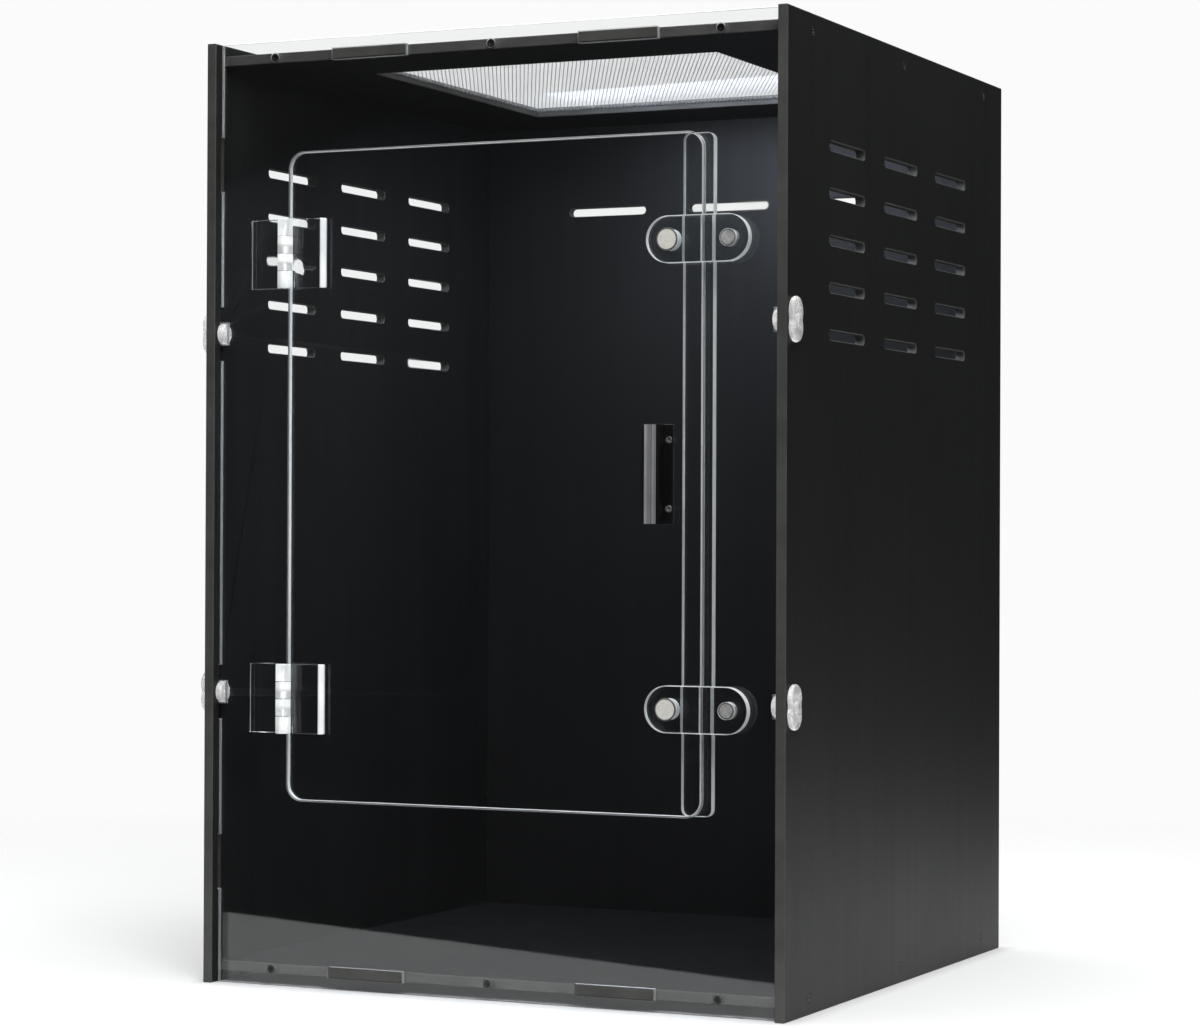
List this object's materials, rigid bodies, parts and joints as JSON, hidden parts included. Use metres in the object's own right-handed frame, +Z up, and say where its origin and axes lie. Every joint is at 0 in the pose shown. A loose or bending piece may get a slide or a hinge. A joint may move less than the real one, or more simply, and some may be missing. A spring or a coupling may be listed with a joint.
{
  "type": "reptile terrarium",
  "caption": "Upright front-opening reptile terrarium: black board case with vent slots and a roof mesh, clear front sheet with a hinged clear door, turning latches and a pull handle.",
  "frame": {"origin": "centre of the whole object's footprint, on the surface it stands on", "axes": "+Z up, -Y out of the front door, +X towards the latch side (right as seen from the front)"},
  "size_m": [0.4082, 0.4038, 0.6],
  "materials": {
    "pvc_board": "satin black rigid PVC board with fine scuffs",
    "clear_acrylic": "polished clear acrylic with bright cut edges",
    "mesh_wire": "fine diamond mesh of flattened wires, bare metal",
    "black_screw": "black coated steel screw, satin",
    "hinge_pin": "bright drawn stainless steel",
    "latch_post": "turned steel, faintly ringed face",
    "magnet": "nickel-plated magnet, dull",
    "keeper": "dark plated steel disc",
    "handle_metal": "black anodised extruded aluminium, satin"
  },
  "bodies": {
    "case": {"back_panel": "pvc_board", "bottom_panel": "pvc_board", "door_stop_strip": "clear_acrylic", "front_panel": "clear_acrylic", "hinge_panel_leaf_lower": "clear_acrylic", "hinge_panel_leaf_upper": "clear_acrylic", "hinge_pin_lower": "hinge_pin", "hinge_pin_upper": "hinge_pin", "latch_keeper_lower": "keeper", "latch_keeper_upper": "keeper", "mesh_frame": "pvc_board", "screw_back_bottom_left": "black_screw", "screw_back_bottom_middle": "black_screw", "screw_back_bottom_right": "black_screw", "screw_back_top_left": "black_screw", "screw_back_top_middle": "black_screw", "screw_back_top_right": "black_screw", "screw_front_bottom_left": "black_screw", "screw_front_bottom_middle": "black_screw", "screw_front_bottom_right": "black_screw", "screw_front_top_left": "black_screw", "screw_front_top_middle": "black_screw", "screw_front_top_right": "black_screw", "screw_left_bottom_front": "black_screw", "screw_left_bottom_middle": "black_screw", "screw_left_bottom_rear": "black_screw", "screw_left_top_front": "black_screw", "screw_left_top_middle": "black_screw", "screw_left_top_rear": "black_screw", "screw_right_bottom_front": "black_screw", "screw_right_bottom_middle": "black_screw", "screw_right_bottom_rear": "black_screw", "screw_right_top_front": "black_screw", "screw_right_top_middle": "black_screw", "screw_right_top_rear": "black_screw", "side_panel_left": "pvc_board", "side_panel_right": "pvc_board", "thumb_nut_left_lower": "clear_acrylic", "thumb_nut_left_upper": "clear_acrylic", "thumb_nut_right_lower": "clear_acrylic", "thumb_nut_right_upper": "clear_acrylic", "top_panel": "pvc_board", "vent_mesh": "mesh_wire"},
    "door": {"door_panel": "clear_acrylic", "hinge_door_leaf_upper": "clear_acrylic", "hinge_door_leaf_lower": "clear_acrylic", "door_handle": "handle_metal", "handle_screw_upper": "black_screw", "handle_screw_lower": "black_screw", "latch_post_upper": "latch_post", "latch_post_lower": "latch_post"},
    "latch_upper": {"latch_plate_upper": "clear_acrylic", "latch_magnet_upper": "magnet"},
    "latch_lower": {"latch_plate_lower": "clear_acrylic", "latch_magnet_lower": "magnet"},
    "thumbscrew_left_upper": {"thumbscrew_left_upper": "clear_acrylic"},
    "thumbscrew_left_lower": {"thumbscrew_left_lower": "clear_acrylic"},
    "thumbscrew_right_upper": {"thumbscrew_right_upper": "clear_acrylic"},
    "thumbscrew_right_lower": {"thumbscrew_right_lower": "clear_acrylic"}
  },
  "joints": [
    {"name": "door_swing", "type": "hinge", "parent": "case", "child": "door", "pos_m": [-0.1428, -0.1962, 0.3232], "axis": [0, 0, -1], "range_deg": [0, 175]},
    {"name": "latch_upper_turn", "type": "hinge", "parent": "door", "child": "latch_upper", "pos_m": [0.122, -0.1914, 0.464], "axis": [0, -1, 0], "range_deg": [0, 90]},
    {"name": "latch_lower_turn", "type": "hinge", "parent": "door", "child": "latch_lower", "pos_m": [0.122, -0.1914, 0.1824], "axis": [0, 1, 0], "range_deg": [0, 90]},
    {"name": "thumbscrew_left_upper_turn", "type": "hinge", "parent": "case", "child": "thumbscrew_left_upper", "pos_m": [-0.2003, -0.1886, 0.4146], "axis": [-1, 0, 0], "continuous": true},
    {"name": "thumbscrew_left_lower_turn", "type": "hinge", "parent": "case", "child": "thumbscrew_left_lower", "pos_m": [-0.2003, -0.1886, 0.1854], "axis": [-1, 0, 0], "continuous": true},
    {"name": "thumbscrew_right_upper_turn", "type": "hinge", "parent": "case", "child": "thumbscrew_right_upper", "pos_m": [0.2003, -0.1886, 0.4146], "axis": [1, 0, 0], "continuous": true},
    {"name": "thumbscrew_right_lower_turn", "type": "hinge", "parent": "case", "child": "thumbscrew_right_lower", "pos_m": [0.2003, -0.1886, 0.1854], "axis": [1, 0, 0], "continuous": true}
  ]
}
